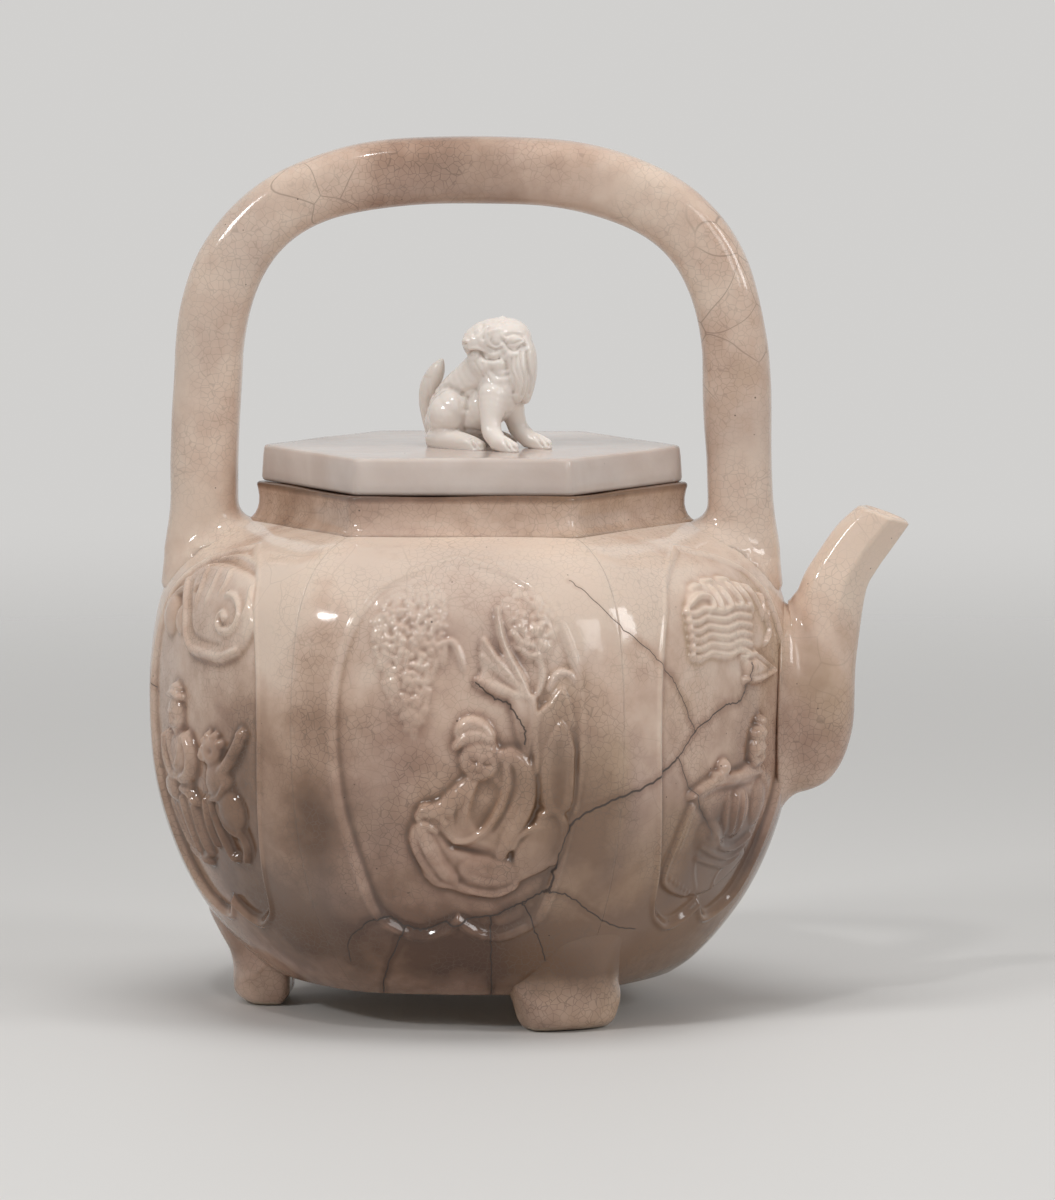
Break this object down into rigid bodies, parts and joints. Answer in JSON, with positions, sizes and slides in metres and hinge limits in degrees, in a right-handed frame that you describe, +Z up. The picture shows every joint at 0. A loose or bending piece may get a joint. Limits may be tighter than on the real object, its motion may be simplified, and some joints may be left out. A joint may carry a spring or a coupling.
{
  "type": "porcelain teapot",
  "caption": "Hexagonal lobed porcelain teapot with an arched overhead handle, swan-neck spout, bracket feet and a lift-off lid crowned by a seated lion.",
  "frame": {"origin": "on the table under the middle of the whole teapot's box; the pot's own upright axis is at x = -13.0 mm", "axes": "+Z up, +X towards the spout in the plane of the handle, -Y towards the front wall panel"},
  "size_m": [0.175, 0.1448, 0.2001],
  "materials": {
    "ivory_glaze": "gloss",
    "cover_glaze": "gloss"
  },
  "bodies": {
    "pot": {"wall_panel_front": "ivory_glaze", "wall_panel_front_right": "ivory_glaze", "wall_panel_back_right": "ivory_glaze", "wall_panel_back": "ivory_glaze", "wall_panel_back_left": "ivory_glaze", "wall_panel_front_left": "ivory_glaze", "base_plate": "ivory_glaze", "neck_collar": "ivory_glaze", "spout": "ivory_glaze", "handle": "ivory_glaze", "foot_left": "ivory_glaze", "foot_front": "ivory_glaze", "foot_back": "ivory_glaze"},
    "lid": {"lid_plate": "cover_glaze", "lid_flange": "cover_glaze", "lion_body": "cover_glaze", "lion_head": "cover_glaze", "lion_tail": "cover_glaze", "lion_foreleg_near": "cover_glaze", "lion_foreleg_far": "cover_glaze"}
  },
  "joints": [
    {"name": "lid_lift", "type": "slide", "parent": "pot", "child": "lid", "axis": [0, 0, 1], "range_m": [0, 0.024]}
  ]
}
